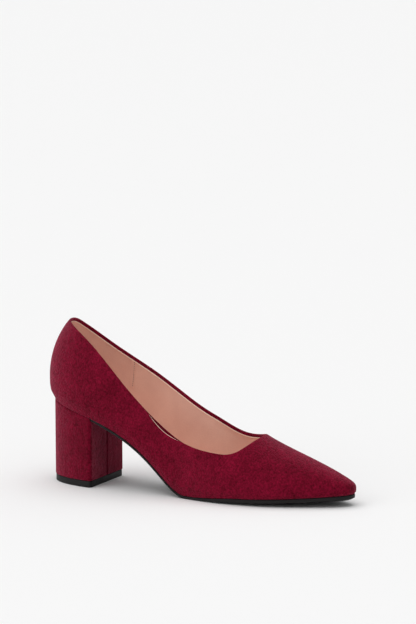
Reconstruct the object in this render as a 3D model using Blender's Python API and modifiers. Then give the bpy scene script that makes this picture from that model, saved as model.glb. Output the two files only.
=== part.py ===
"""Block heel pump for the right foot: upper, outsole, insole, covered heel and top lift.

Metres. +X points to the toe, -Y is the outer side, +Z is up, and the shoe stands on z = 0.
Every piece is worked out from one last: its outline in plan, the side profile of the sole,
and spokes from a spine down the middle out to the feather edge, where upper meets sole.
"""
import math

import bmesh
import bpy
import numpy as np

# Last in plan
LAST_LENGTH = 0.2489
BALL_WIDTH = 0.0672
SEAT_ROUND = 0.0223
TOE_ROUND = 0.007
TOE_SWING = 0.0053
SEAT_FAN = 0.0441
TOE_FAN = 0.011
FAN_BLEND = 0.012

# Side profile of the sole's underside
SEAT_HEIGHT = 0.0529
SEAT_SLOPE = math.radians(14.7)
SEAT_HOLLOW = 0.5
ARCH_START = 0.0391
TREAD_START = 0.1258
TREAD_END = 0.148
TOE_SPRING = 0.0047
SPRING_POWER = 1.5
ARCH_PULL = 0.673
TREAD_PULL = 0.246
FOREPART_START = 0.128
FOREPART_END = 0.168

# Upper
WALL = 0.0018
FLANGE = 0.005
BACK_HEIGHT = 0.0768
SIDE_SWELL = 0.004
BACK_SWELL = 0.0049
SWELL_HEIGHT = 0.024
THROAT = 0.176

# Sole, insole and heel
SEAT_SOLE = 0.002
WAIST_SOLE = 0.0018
TREAD_SOLE = 0.0042
SOLE_CROWN = 0.0015
SOLE_CHAMFER = 0.0004
FLAT_SHARE = 0.55
INSOLE_THICKNESS = 0.0022
HEEL_DEPTH = 0.0438
HEEL_CORNER = 0.0025
CUP_LIP = 0.0012
CUP_CLEAR = 0.001
CUP_BLEND = 0.0146
LIFT_HEIGHT = 0.005
LIFT_INSET = 0.0004
GAP = 0.0003

# Facets
COLLAR_COLUMNS = 32
VAMP_COLUMNS = 18
FOOT_LEAD = 0.3
SIDE_ROWS = 9
TUCK_ROWS = 3
HEEL_COLUMNS = 14
CORNER_STEPS = 4
FINE_STEPS = 1200
ARCH_STEPS = 200
HALVINGS = 40
SLOPE_STEP = 0.0005
WELD = 1e-6
UPPER_CREASE = math.radians(50)
BLOCK_CREASE = math.radians(35)

OUTER, INNER = -1, 1

# Half widths of the feather edge: station as a share of LAST_LENGTH, then shares of BALL_WIDTH
PLAN = (
    # station, outer, inner
    (0.05, 0.290, 0.284),
    (0.12, 0.376, 0.377),
    (0.22, 0.402, 0.387),
    (0.34, 0.383, 0.327),
    (0.46, 0.395, 0.313),
    (0.58, 0.478, 0.417),
    (0.68, 0.496, 0.500),
    (0.78, 0.445, 0.454),
    (0.88, 0.313, 0.322),
    (0.95, 0.194, 0.193),
)

# Middle line of the plan: station as a share of LAST_LENGTH, shift as a share of TOE_SWING
SWING = (
    # station, shift
    (0.0, 0.0),
    (0.3, -0.44),
    (0.65, 0.07),
    (1.0, 1.0),
)

# Sections of the upper: station as a share of LAST_LENGTH, how far the wall swells out as a
# share of SIDE_SWELL, how high it is widest as a share of SWELL_HEIGHT, and its roundness above
SECTIONS = (
    # station, swell, height, roundness
    (0.17, 0.85, 0.74, 1.92),
    (0.30, 0.73, 0.83, 1.92),
    (0.50, 0.51, 0.58, 2.12),
    (0.68, 0.48, 0.38, 1.90),
    (0.85, 0.30, 0.21, 1.96),
    (1.00, 0.19, 0.15, 2.25),
)

# Crest of the last above its carrier line, as shares of BACK_HEIGHT, over the opening and
# down the vamp: stations are shares of the way from the seat to the throat, then to the toe
CREST_OPENING = (
    # station, rise
    (0.245, 1.343),
    (0.393, 1.429),
    (0.560, 1.440),
    (0.766, 1.031),
)
CREST_VAMP = (
    # station, rise
    (0.000, 0.612),
    (0.248, 0.498),
    (0.582, 0.360),
    (0.791, 0.267),
    (0.937, 0.199),
    (1.000, 0.170),
)

# Topline above the carrier line, seen from the side: station as a share of THROAT, then
# shares of BACK_HEIGHT. It ends at the throat, on the crest.
TOPLINE = (
    # station, outer, inner
    (0.052, 1.001, 1.001),
    (0.120, 0.982, 0.886),
    (0.262, 0.945, 0.816),
    (0.432, 0.810, 0.873),
    (0.603, 0.651, 0.847),
    (0.745, 0.530, 0.705),
    (0.859, 0.491, 0.574),
    (0.956, 0.522, 0.583),
)


def smooth_step(share):
    share = np.clip(share, 0.0, 1.0)
    return share * share * (3.0 - 2.0 * share)


def spline(places, values, first_slope=None, last_slope=None):
    """Smooth curve through the values, straight at an end that has no slope of its own."""
    places = np.asarray(places, float)
    values = np.asarray(values, float)
    gaps = np.diff(places)
    slopes = np.diff(values) / gaps
    count = len(places)
    system = np.eye(count)
    target = np.zeros(count)
    for k in range(1, count - 1):
        system[k, k - 1:k + 2] = gaps[k - 1], 2 * (gaps[k - 1] + gaps[k]), gaps[k]
        target[k] = 6 * (slopes[k] - slopes[k - 1])
    if first_slope is not None:
        system[0, :2] = 2 * gaps[0], gaps[0]
        target[0] = 6 * (slopes[0] - first_slope)
    if last_slope is not None:
        system[-1, -2:] = gaps[-1], 2 * gaps[-1]
        target[-1] = 6 * (last_slope - slopes[-1])
    bends = np.linalg.solve(system, target)

    def curve(place):
        place = np.asarray(place, float)
        k = np.clip(np.searchsorted(places, place) - 1, 0, count - 2)
        after = place - places[k]
        before = places[k + 1] - place
        gap = gaps[k]
        bent = (bends[k] * before ** 3 + bends[k + 1] * after ** 3) / (6 * gap)
        from_first = (values[k] / gap - bends[k] * gap / 6) * before
        from_last = (values[k + 1] / gap - bends[k + 1] * gap / 6) * after
        return bent + from_first + from_last

    return curve


def column(table, index):
    return np.array([row[index] for row in table])


# The turn runs from 0 at the seat's end to pi at the toe tip, on either side
def station_x(turn):
    return LAST_LENGTH * (1 - np.cos(turn)) / 2


def turn_at(x):
    return math.acos(1 - 2 * x / LAST_LENGTH)


def half_width_curve(index):
    turns = np.arccos(1 - 2 * column(PLAN, 0))
    seat_slope = math.sqrt(SEAT_ROUND * LAST_LENGTH / 2)
    toe_slope = math.sqrt(TOE_ROUND * LAST_LENGTH / 2)
    return spline([0, *turns, math.pi], [0, *BALL_WIDTH * column(PLAN, index), 0],
                  seat_slope, -toe_slope)


half_width = {OUTER: half_width_curve(1), INNER: half_width_curve(2)}
middle_y = spline(LAST_LENGTH * column(SWING, 0), TOE_SWING * column(SWING, 1))
swell_at = spline(LAST_LENGTH * column(SECTIONS, 0), SIDE_SWELL * column(SECTIONS, 1))
swell_height_at = spline(LAST_LENGTH * column(SECTIONS, 0), SWELL_HEIGHT * column(SECTIONS, 2))
roundness_at = spline(LAST_LENGTH * column(SECTIONS, 0), column(SECTIONS, 3))


def arch_curve():
    """Underside from the seat down to the tread, as x and z along a Bezier curve."""
    start = np.array([ARCH_START, SEAT_HEIGHT])
    end = np.array([TREAD_START, 0.0])
    span = TREAD_START - ARCH_START
    along_seat = np.array([math.cos(SEAT_SLOPE), -math.sin(SEAT_SLOPE)])
    pulls = start + ARCH_PULL * span * along_seat, end - np.array([TREAD_PULL * span, 0.0])
    share = np.linspace(0, 1, ARCH_STEPS)[:, None]
    rest = 1 - share
    points = (rest ** 3 * start + 3 * rest ** 2 * share * pulls[0]
              + 3 * rest * share ** 2 * pulls[1] + share ** 3 * end)
    return points[:, 0], points[:, 1]


arch_x, arch_z = arch_curve()


def toe_spring(x):
    ahead = np.clip((x - TREAD_END) / (LAST_LENGTH - TREAD_END), 0.0, None)
    return TOE_SPRING * ahead ** SPRING_POWER


def sole_bottom(x):
    """Underside of the sole along its middle."""
    behind = np.maximum(ARCH_START - x, 0.0)
    seat = SEAT_HEIGHT + math.tan(SEAT_SLOPE) * behind - SEAT_HOLLOW * behind ** 2
    return np.where(x < ARCH_START, seat, np.interp(x, arch_x, arch_z) + toe_spring(x))


def forepart(x):
    """0 on the seat and the waist, 1 on the forepart."""
    return smooth_step((x - FOREPART_START) / (FOREPART_END - FOREPART_START))


def sole_top(x):
    waist = smooth_step((x - HEEL_DEPTH / 2) / HEEL_DEPTH)
    thin = SEAT_SOLE + (WAIST_SOLE - SEAT_SOLE) * waist
    return sole_bottom(x) + thin + (TREAD_SOLE - thin) * forepart(x)


def lean(x):
    """Upright height of a layer on the sole for each unit of its thickness."""
    rise = sole_top(x + SLOPE_STEP) - sole_top(x - SLOPE_STEP)
    return np.hypot(1.0, rise / (2 * SLOPE_STEP))


def feather_z(x):
    return sole_top(x) + GAP * lean(x)


def carrier_z(x):
    """Soft line from the seat to the tread and the toe, which crest and topline stand on."""
    return SEAT_HEIGHT * (1 - smooth_step(x / TREAD_START)) + toe_spring(x)


def crest_curve():
    behind = THROAT * column(CREST_OPENING, 0)
    ahead = THROAT + (LAST_LENGTH - THROAT) * column(CREST_VAMP, 0)
    rises = np.concatenate([column(CREST_OPENING, 1), column(CREST_VAMP, 1)])
    return spline(np.concatenate([behind, ahead]), BACK_HEIGHT * rises)


crest_rise = crest_curve()


def crest_slope(x):
    ahead, behind = x + SLOPE_STEP, x - SLOPE_STEP
    rise = carrier_z(ahead) + crest_rise(ahead) - carrier_z(behind) - crest_rise(behind)
    return rise / (2 * SLOPE_STEP)


def topline_curve(index):
    places = np.append(THROAT * column(TOPLINE, 0), THROAT)
    rises = np.append(BACK_HEIGHT * column(TOPLINE, index), crest_rise(THROAT))
    return spline(places, rises)


topline_rise = {OUTER: topline_curve(1), INNER: topline_curve(2)}


def topline_z(side, x):
    place = np.clip(x, THROAT * TOPLINE[0][0], THROAT)
    return carrier_z(place) + topline_rise[side](place)


def spine_x(x):
    """Where the spoke of a station starts: the spine stops short of seat end and toe tip."""
    def eased(run):
        blend = (run + FAN_BLEND) ** 2 / (4 * FAN_BLEND)
        return np.where(run < -FAN_BLEND, 0.0, np.where(run > FAN_BLEND, run, blend))

    front = LAST_LENGTH - TOE_FAN
    return front - eased(front - (SEAT_FAN + eased(x - SEAT_FAN)))


def spoke(side, turn):
    """Root on the spine, direction and length of the spoke out to the feather edge."""
    x = station_x(turn)
    y = middle_y(x) + side * half_width[side](turn)
    root_x = spine_x(x)
    root_y = middle_y(root_x)
    reach = np.hypot(x - root_x, y - root_y)
    return root_x, root_y, (x - root_x) / reach, (y - root_y) / reach, reach


def upper_point(side, turn, lift):
    """Outer face of the upper. Lift is -1 at the feather edge, 0 where the wall is widest
    and half pi on the crest."""
    root_x, root_y, along_x, along_y, reach = spoke(side, turn)
    foot = feather_z(root_x + along_x * reach)
    swell = swell_at(root_x) + (BACK_SWELL - SIDE_SWELL) * np.clip(-along_x, 0, 1) ** 2
    tuck = np.clip(-lift, 0.0, 1.0)
    rise = np.clip(lift, 0.0, math.pi / 2)
    power = 2 / roundness_at(root_x)
    widest = foot + swell_height_at(root_x)
    crest = carrier_z(root_x) + crest_rise(root_x)
    arm = (reach + swell) * np.cos(rise) ** power - swell * tuck ** 3
    z = widest - swell_height_at(root_x) * tuck + (crest - widest) * np.sin(rise) ** power
    z = z + crest_slope(root_x) * np.clip(along_x, 0, 1) * arm * np.sin(rise) ** 2
    return np.stack([root_x + along_x * arm, root_y + along_y * arm, z], axis=-1)


def topline_lift(side, turn):
    """Lift at which the upper reaches the topline."""
    low = np.zeros_like(turn)
    high = np.full_like(turn, math.pi / 2)
    for _ in range(HALVINGS):
        middle = (low + high) / 2
        point = upper_point(side, turn, middle)
        under = point[:, 2] < topline_z(side, point[:, 0])
        low = np.where(under, middle, low)
        high = np.where(under, high, middle)
    return (low + high) / 2


def evenly(count, path, *values):
    """The values at equal steps along the path, both ends included."""
    run = np.concatenate([[0.0], np.cumsum(np.linalg.norm(np.diff(path, axis=0), axis=1))])
    marks = np.linspace(0.0, run[-1], count + 1)
    return [np.interp(marks, run, each) for each in values]


def topline_columns(side):
    """Turn and lift at even steps along the topline, from the back to the throat."""
    fine = turn_at(THROAT) * (1 - np.linspace(1, 0, FINE_STEPS) ** 2)
    lift = topline_lift(side, fine)
    lift[-1] = math.pi / 2
    return evenly(COLLAR_COLUMNS, upper_point(side, fine, lift), fine, lift)


def lay_columns():
    """Turn of each column at the feather edge, the same in every piece, and on each side its
    turn and lift at the top. The feet run ahead of the tops toward the throat, because a
    column that leans the other way there would fold."""
    vamp = np.linspace(turn_at(THROAT), math.pi, VAMP_COLUMNS + 1)[1:]
    crest = np.full(VAMP_COLUMNS, math.pi / 2)
    edges = {side: topline_columns(side) for side in (OUTER, INNER)}
    ahead = FOOT_LEAD * np.linspace(0, 1, COLLAR_COLUMNS + 1) ** 4
    foot = np.maximum(edges[OUTER][0], edges[INNER][0]) + ahead
    vamp_foot = np.linspace(foot[-1], math.pi, VAMP_COLUMNS + 1)[1:]
    tops = {side: (np.append(turn, vamp), np.append(lift, crest))
            for side, (turn, lift) in edges.items()}
    return np.append(foot, vamp_foot), tops


def around(outer, inner):
    """One closed ring from the two sides, which share the seat end and the toe tip."""
    return np.concatenate([outer, inner[-2:0:-1]])


def plan_ring(turns, inset, share, height):
    """Ring in plan at a share of the way out from the spine, at the height of its x."""
    sides = []
    for side in (OUTER, INNER):
        root_x, root_y, along_x, along_y, reach = spoke(side, turns)
        arm = (reach - inset(station_x(turns))) * share
        x = root_x + along_x * arm
        sides.append(np.stack([x, root_y + along_y * arm, height(x)], axis=-1))
    return around(*sides)


def make_object(name, mesh, material, collection):
    piece = bpy.data.objects.new(name, mesh)
    mesh.materials.append(material)
    collection.objects.link(piece)
    return piece


def loft(name, rings):
    """Skin over closed rings of one count, welded where they meet on a line or a point."""
    bm = bmesh.new()
    rows = [[bm.verts.new(point) for point in ring] for ring in rings]
    for below, above in zip(rows, rows[1:]):
        for k in range(len(below)):
            after = (k + 1) % len(below)
            bm.faces.new((below[k], below[after], above[after], above[k]))
    bmesh.ops.remove_doubles(bm, verts=bm.verts, dist=WELD)
    mesh = bpy.data.meshes.new(name)
    bm.to_mesh(mesh)
    bm.free()
    return mesh


def strips(name, outline, levels):
    """Solid between a lowest and a highest level. Each level gives its inset and its height
    over x, and the outline gives the two sides from back to front for an inset."""
    bm = bmesh.new()
    rows = []
    for inset, height in levels:
        sides = [[bm.verts.new((x, y, height(x))) for x, y in side] for side in outline(inset)]
        rows.append(sides)
    for (outer, inner), facing in ((rows[0], -1), (rows[-1], 1)):
        for k in range(len(outer) - 1):
            corners = [outer[k], outer[k + 1], inner[k + 1], inner[k]]
            bm.faces.new(corners[::facing])
    for below, above in zip(rows, rows[1:]):
        low = below[0] + below[1][::-1]
        high = above[0] + above[1][::-1]
        for k in range(len(low) - 1):
            bm.faces.new((low[k], low[k + 1], high[k + 1], high[k]))
    bmesh.ops.remove_doubles(bm, verts=bm.verts, dist=WELD)
    mesh = bpy.data.meshes.new(name)
    bm.to_mesh(mesh)
    bm.free()
    return mesh


def shade_round(mesh, angle):
    mesh.shade_smooth()
    mesh.set_sharp_from_angle(angle=angle)


def make_material(name, colour, roughness):
    material = bpy.data.materials.new(name)
    material.use_nodes = True
    shader = material.node_tree.nodes["Principled BSDF"]
    shader.inputs["Base Color"].default_value = (*colour, 1.0)
    shader.inputs["Roughness"].default_value = roughness
    shader.inputs["Metallic"].default_value = 0.0
    return material


def make_upper(collection, turns, tops):
    """Outer skin from the flange under the insole up to the topline and over the vamp,
    given its wall inwards."""
    rings = [plan_ring(turns, lambda x: FLANGE, 1, feather_z)]
    for tuck in np.linspace(-1, 0, TUCK_ROWS + 1):
        rings.append(around(*[upper_point(side, turns, tuck) for side in (OUTER, INNER)]))
    for climb in np.linspace(0, 1, SIDE_ROWS + 1)[1:]:
        sides = []
        for side in (OUTER, INNER):
            top_turn, top_lift = tops[side]
            turn = turns + (top_turn - turns) * climb
            sides.append(upper_point(side, turn, top_lift * climb))
        rings.append(around(*sides))
    mesh = loft("upper", rings)
    shade_round(mesh, UPPER_CREASE)
    piece = make_object("upper", mesh, make_material("suede", (0.127, 0.007, 0.017), 0.9),
                        collection)
    wall = piece.modifiers.new("wall", "SOLIDIFY")
    wall.thickness = WALL
    wall.offset = -1
    wall.use_even_offset = True
    return piece


def sole_inset(x):
    """The sole is narrower where it lies in the heel's cup."""
    ahead = x - HEEL_DEPTH - CUP_CLEAR
    return (CUP_LIP + GAP) * (1 - smooth_step(ahead / CUP_BLEND))


def make_outsole(collection, turns):
    def underside(share):
        lift = SOLE_CROWN * np.clip((share - FLAT_SHARE) / (1 - FLAT_SHARE), 0, 1) ** 2
        return lambda x: sole_bottom(x) + lift * forepart(x)

    def chamfered(x):
        return sole_inset(x) + SOLE_CHAMFER

    rings = [plan_ring(turns, chamfered, share, underside(share))
             for share in (0, FLAT_SHARE, (1 + FLAT_SHARE) / 2, 1)]
    rings.append(plan_ring(turns, sole_inset, 1, lambda x: underside(1)(x) + SOLE_CHAMFER))
    rings.append(plan_ring(turns, sole_inset, 1, sole_top))
    rings.append(plan_ring(turns, sole_inset, 0, sole_top))
    mesh = loft("outsole", rings)
    shade_round(mesh, BLOCK_CREASE)
    return make_object("outsole", mesh, make_material("sole", (0.02, 0.02, 0.021), 0.45),
                       collection)


def make_insole(collection, turns):
    """Sock and board in one, lying on the flange inside the wall."""

    def inside(x):
        return WALL + 2 * GAP

    def underside(x):
        return feather_z(x) + (WALL + GAP) * lean(x)

    def upper_face(x):
        return underside(x) + INSOLE_THICKNESS * lean(x)

    rings = [plan_ring(turns, inside, 0, underside), plan_ring(turns, inside, 1, underside),
             plan_ring(turns, inside, 1, upper_face), plan_ring(turns, inside, 0, upper_face)]
    mesh = loft("insole", rings)
    shade_round(mesh, BLOCK_CREASE)
    return make_object("insole", mesh, make_material("sock", (0.62, 0.40, 0.31), 0.6),
                       collection)


def seat_outline(depth):
    """Outline of the seat, cut off straight at a depth with two round corners."""
    def outline(inset):
        turns = np.linspace(0, turn_at(depth - HEEL_CORNER), HEEL_COLUMNS + 1)
        bends = np.linspace(0, math.pi / 2, CORNER_STEPS + 1)[1:]
        sides = []
        for side in (OUTER, INNER):
            root_x, root_y, along_x, along_y, reach = spoke(side, turns)
            x = root_x + along_x * (reach - inset)
            y = root_y + along_y * (reach - inset)
            corner_x = x[-1] + (depth - inset - x[-1]) * np.sin(bends)
            corner_y = y[-1] - side * HEEL_CORNER * (1 - np.cos(bends))
            sides.append(list(zip(np.append(x, corner_x), np.append(y, corner_y))))
        return sides

    return outline


def make_heel(collection, cutters):
    """Block under the seat, with a shallow cup in its top that takes the sole."""
    def base(x):
        return LIFT_HEIGHT + GAP + 0 * x

    def cup_floor(x):
        return sole_bottom(x) - GAP

    def clear_above(x):
        return sole_top(x) + SEAT_SOLE

    mesh = strips("heel", seat_outline(HEEL_DEPTH), [(0.0, base), (0.0, sole_top)])
    piece = make_object("heel", mesh, make_material("heel_cover", (0.11, 0.006, 0.014), 0.9),
                        collection)
    cup = strips("heel_cup", seat_outline(2 * HEEL_DEPTH),
                 [(CUP_LIP, cup_floor), (CUP_LIP, clear_above)])
    cutter = make_object("heel_cup", cup, make_material("cut", (0.5, 0.5, 0.5), 0.5), cutters)
    cutter.hide_render = True
    cutter.display_type = "WIRE"
    cut = piece.modifiers.new("cup", "BOOLEAN")
    cut.operation = "DIFFERENCE"
    cut.solver = "EXACT"
    cut.object = cutter
    shade_round(mesh, BLOCK_CREASE)
    return piece, cutter


def make_top_lift(collection):
    """Flat wearing piece under the heel."""
    def ground(x):
        return 0 * x

    def chamfer_top(x):
        return SOLE_CHAMFER + 0 * x

    def upper_face(x):
        return LIFT_HEIGHT + 0 * x

    levels = [(LIFT_INSET + SOLE_CHAMFER, ground), (LIFT_INSET, chamfer_top),
              (LIFT_INSET, upper_face)]
    mesh = strips("top_lift", seat_outline(HEEL_DEPTH), levels)
    shade_round(mesh, BLOCK_CREASE)
    return make_object("top_lift", mesh, make_material("lift", (0.02, 0.02, 0.021), 0.5),
                       collection)


def stand_on_origin(pieces, upper):
    """Hangs all on one empty that puts the middle of the shoe's plan over the origin."""
    points = np.array([vertex.co for vertex in upper.data.vertices])
    middle = (points.min(axis=0) + points.max(axis=0)) / 2
    stand = bpy.data.objects.new("stand", None)
    stand.location = (-middle[0], -middle[1], 0.0)
    upper.users_collection[0].objects.link(stand)
    for piece in pieces:
        piece.parent = stand


def clear_scene():
    for piece in list(bpy.data.objects):
        bpy.data.objects.remove(piece)


def new_collection(name):
    collection = bpy.data.collections.new(name)
    bpy.context.scene.collection.children.link(collection)
    return collection


def main():
    clear_scene()
    shoe = new_collection("block_heel_pump")
    cutters = new_collection("cutters")
    turns, tops = lay_columns()
    upper = make_upper(shoe, turns, tops)
    heel, cup = make_heel(shoe, cutters)
    pieces = [upper, make_outsole(shoe, turns), make_insole(shoe, turns), heel,
              make_top_lift(shoe), cup]
    stand_on_origin(pieces, upper)


main()
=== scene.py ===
"""Dresses the block heel pump: suede upper and heel, lining, sock, black sole and top lift.

Metres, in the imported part's own frame: +X to the toe, -Y to the outer side, +Z up. Every
dressed piece is worked out from the same last as the solid that it stands for.
"""
import functools
import math

import bmesh
import bpy
import numpy as np
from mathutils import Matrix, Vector


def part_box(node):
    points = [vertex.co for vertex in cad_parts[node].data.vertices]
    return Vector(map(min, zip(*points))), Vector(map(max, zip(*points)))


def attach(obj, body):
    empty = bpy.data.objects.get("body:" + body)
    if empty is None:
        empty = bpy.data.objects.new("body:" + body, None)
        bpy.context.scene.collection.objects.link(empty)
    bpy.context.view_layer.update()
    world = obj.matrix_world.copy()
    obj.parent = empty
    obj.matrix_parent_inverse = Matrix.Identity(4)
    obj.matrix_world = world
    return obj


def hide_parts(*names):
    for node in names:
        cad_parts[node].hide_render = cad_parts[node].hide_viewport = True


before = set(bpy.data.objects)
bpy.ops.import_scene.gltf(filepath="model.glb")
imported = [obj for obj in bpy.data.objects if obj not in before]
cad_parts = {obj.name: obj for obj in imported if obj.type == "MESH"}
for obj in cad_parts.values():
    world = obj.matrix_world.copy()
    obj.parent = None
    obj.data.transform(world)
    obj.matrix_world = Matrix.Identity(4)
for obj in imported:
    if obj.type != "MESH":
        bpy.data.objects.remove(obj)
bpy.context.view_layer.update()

bl_info = {
    "name": "Block heel pump",
    "version": (1, 0, 0),
    "blender": (4, 5, 0),
    "location": "3D View > Sidebar > Pump",
    "description": "Builds the visible pieces of a block heel pump round its solids",
    "category": "Object",
}

# Sizes of the last, the same as in the part's source
LAST_LENGTH = 0.2489
BALL_WIDTH = 0.0672
SEAT_ROUND = 0.0223
TOE_ROUND = 0.007
TOE_SWING = 0.0053
SEAT_FAN = 0.0441
TOE_FAN = 0.011
FAN_BLEND = 0.012
SEAT_HEIGHT = 0.0529
SEAT_SLOPE = math.radians(14.7)
SEAT_HOLLOW = 0.5
ARCH_START = 0.0391
TREAD_START = 0.1258
TREAD_END = 0.148
TOE_SPRING = 0.0047
SPRING_POWER = 1.5
ARCH_PULL = 0.673
TREAD_PULL = 0.246
FOREPART_START = 0.128
FOREPART_END = 0.168
WALL = 0.0018
BACK_HEIGHT = 0.0768
SIDE_SWELL = 0.004
BACK_SWELL = 0.0049
SWELL_HEIGHT = 0.024
THROAT = 0.176
SEAT_SOLE = 0.002
WAIST_SOLE = 0.0018
TREAD_SOLE = 0.0042
SOLE_CROWN = 0.0015
FLAT_SHARE = 0.55
INSOLE_THICKNESS = 0.0022
HEEL_DEPTH = 0.0438
HEEL_CORNER = 0.0025
CUP_LIP = 0.0012
CUP_CLEAR = 0.001
CUP_BLEND = 0.0146
LIFT_HEIGHT = 0.005
LIFT_INSET = 0.0004
GAP = 0.0003
FOOT_LEAD = 0.3

# How finely the visible surfaces are cut
COLLAR_COLUMNS = 130
VAMP_COLUMNS = 64
TUCK_ROWS = 8
SIDE_ROWS = 56
SEAT_COLUMNS = 70
CORNER_COLUMNS = 12
BREAST_COLUMNS = 61
LIFT_BREAST_COLUMNS = 21
HEEL_ROWS = 39
SOCK_COLUMNS = 150
SOLE_COLUMNS = 170
FOLD_STEPS = 12
BAND_STEPS = 4
ROUND_STEPS = 5
BEAD_STEPS = 8
FINE_STEPS = 1600
PLAN_STEPS = 2000
ARCH_STEPS = 400
HALVINGS = 40
SLOPE_STEP = 0.0005
WELD = 1e-6

# How the two toplines meet at the back: over how many columns, and how near the outer one
BACK_COLUMNS = 12
BACK_SHARE = 0.7

# How the collar's edge is drawn
THROAT_COLUMNS = 3
THROAT_BLEND = 0.7
TANGENT_PASSES = 3
DROP_FADE = 0.012
LASTED_MARGINS = (0.004, 0.002)
FEATHER_CLEAR = 0.0002
BAND_OVERLAP = 0.0002
BAND_HEM = 0.0001
BEAD_INSET = 0.0001

# The gape: how much thinner its edge and band are, and where the lining's cut edge lies
GAPE_THINNING = 0.4
GAPE_BAND = 0.9
CUT_EDGE_INSET = 0.00122
CUT_EDGE_RISE = 0.00012
CUT_EDGE_SINK = 0.0006

# The lining's seam
LAP_HEIGHT = 0.0004
LAP_EDGE = 0.0002
LAP_AHEAD = 0.001
WALL_STEP = 0.001
STITCH_SHARE = 0.28
STITCH_RISE = 0.0003

# The heel's breast seam and its rounded edges, the sole's and the sock's edges
GROOVE_WIDTH = 0.0005
GROOVE_REACH = 0.0004
BREAST_EVEN = 0.25
HEEL_FOOT = 0.0005
HEEL_SHOULDER = 0.001
BREAST_CLEAR = 0.00005
ON_BREAST = 1e-7
BREAST_BLEND = 0.0012
SOLE_MARGIN = 0.004
SOLE_TOP_SHARE = 0.7
SOCK_EDGE = 0.0004
SOCK_EDGE_START = 0.93

OUTER, INNER = -1, 1
SIDES = (OUTER, INNER)
SIDE_NAMES = {OUTER: "outer", INNER: "inner"}

PLAN = (
    # station, outer, inner
    (0.05, 0.290, 0.284),
    (0.12, 0.376, 0.377),
    (0.22, 0.402, 0.387),
    (0.34, 0.383, 0.327),
    (0.46, 0.395, 0.313),
    (0.58, 0.478, 0.417),
    (0.68, 0.496, 0.500),
    (0.78, 0.445, 0.454),
    (0.88, 0.313, 0.322),
    (0.95, 0.194, 0.193),
)
SWING = (
    # station, shift
    (0.0, 0.0),
    (0.3, -0.44),
    (0.65, 0.07),
    (1.0, 1.0),
)
SECTIONS = (
    # station, swell, height, roundness
    (0.17, 0.85, 0.74, 1.92),
    (0.30, 0.73, 0.83, 1.92),
    (0.50, 0.51, 0.58, 2.12),
    (0.68, 0.48, 0.38, 1.90),
    (0.85, 0.30, 0.21, 1.96),
    (1.00, 0.19, 0.15, 2.25),
)
CREST_OPENING = (
    # station, rise
    (0.245, 1.343),
    (0.393, 1.429),
    (0.560, 1.440),
    (0.766, 1.031),
)
CREST_VAMP = (
    # station, rise
    (0.000, 0.612),
    (0.248, 0.498),
    (0.582, 0.360),
    (0.791, 0.267),
    (0.937, 0.199),
    (1.000, 0.170),
)
TOPLINE = (
    # station, outer, inner
    (0.052, 1.001, 1.001),
    (0.120, 0.982, 0.886),
    (0.262, 0.945, 0.816),
    (0.432, 0.810, 0.873),
    (0.603, 0.651, 0.847),
    (0.745, 0.530, 0.705),
    (0.859, 0.491, 0.574),
    (0.956, 0.522, 0.583),
)
# The facing's rows: inward, height
FACING_PROFILE = (
    (0.00145, -0.0030), (0.00145, 0.00045), (0.00150, 0.00060), (0.00158, 0.00066),
    (0.00166, 0.00060), (0.00174, 0.00020), (0.00182, -0.0005), (0.00200, -0.0020),
    (0.00190, -0.0030))
# A stitch: share of its length, share of the thread's radius
STITCH_PROFILE = ((0.00, 0.3), (0.12, 0.8), (0.50, 1.0), (0.88, 0.8), (1.00, 0.3))
# The heel's lower rows, inset and height over the top lift, and its upper ones, inset and drop
HEEL_BASE = ((0.0020, 0.0), (0.0006, 0.0), (0.0002, 0.0001), (0.0, HEEL_FOOT))
HEEL_TOP = ((0.0, HEEL_SHOULDER), (0.0001, 0.0006), (0.0004, 0.0002), (0.0010, 0.0001))
SOCK_SHARES = (1, 0.99, 0.975, 0.95, 0.9, 0.8, 0.7, 0.6, 0.5, 0.4, 0.3, 0.2, 0.1, 0)
SOLE_SHARES = (*np.linspace(0, 0.55, 12), *np.linspace(0.6, 1, 9))


# The last, as in the part's source

def smooth_step(share):
    share = np.clip(share, 0.0, 1.0)
    return share * share * (3.0 - 2.0 * share)


def spline(places, values, first_slope=None, last_slope=None):
    """Smooth curve through the values, straight at an end that has no slope of its own."""
    places, values = np.asarray(places, float), np.asarray(values, float)
    gaps = np.diff(places)
    slopes = np.diff(values) / gaps
    count = len(places)
    system, target = np.eye(count), np.zeros(count)
    for k in range(1, count - 1):
        system[k, k - 1:k + 2] = gaps[k - 1], 2 * (gaps[k - 1] + gaps[k]), gaps[k]
        target[k] = 6 * (slopes[k] - slopes[k - 1])
    if first_slope is not None:
        system[0, :2] = 2 * gaps[0], gaps[0]
        target[0] = 6 * (slopes[0] - first_slope)
    if last_slope is not None:
        system[-1, -2:] = gaps[-1], 2 * gaps[-1]
        target[-1] = 6 * (last_slope - slopes[-1])
    bends = np.linalg.solve(system, target)

    def curve(place):
        place = np.asarray(place, float)
        k = np.clip(np.searchsorted(places, place) - 1, 0, count - 2)
        after = place - places[k]
        before = places[k + 1] - place
        gap = gaps[k]
        bent = (bends[k] * before ** 3 + bends[k + 1] * after ** 3) / (6 * gap)
        from_first = (values[k] / gap - bends[k] * gap / 6) * before
        from_last = (values[k + 1] / gap - bends[k + 1] * gap / 6) * after
        return bent + from_first + from_last

    return curve


def column(table, index):
    return np.array([row[index] for row in table])


def station_x(turn):
    return LAST_LENGTH * (1 - np.cos(turn)) / 2


def turn_at(x):
    return math.acos(1 - 2 * x / LAST_LENGTH)


def half_width_curve(index):
    turns = np.arccos(1 - 2 * column(PLAN, 0))
    seat_slope = math.sqrt(SEAT_ROUND * LAST_LENGTH / 2)
    toe_slope = math.sqrt(TOE_ROUND * LAST_LENGTH / 2)
    return spline([0, *turns, math.pi], [0, *BALL_WIDTH * column(PLAN, index), 0],
                  seat_slope, -toe_slope)


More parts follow.
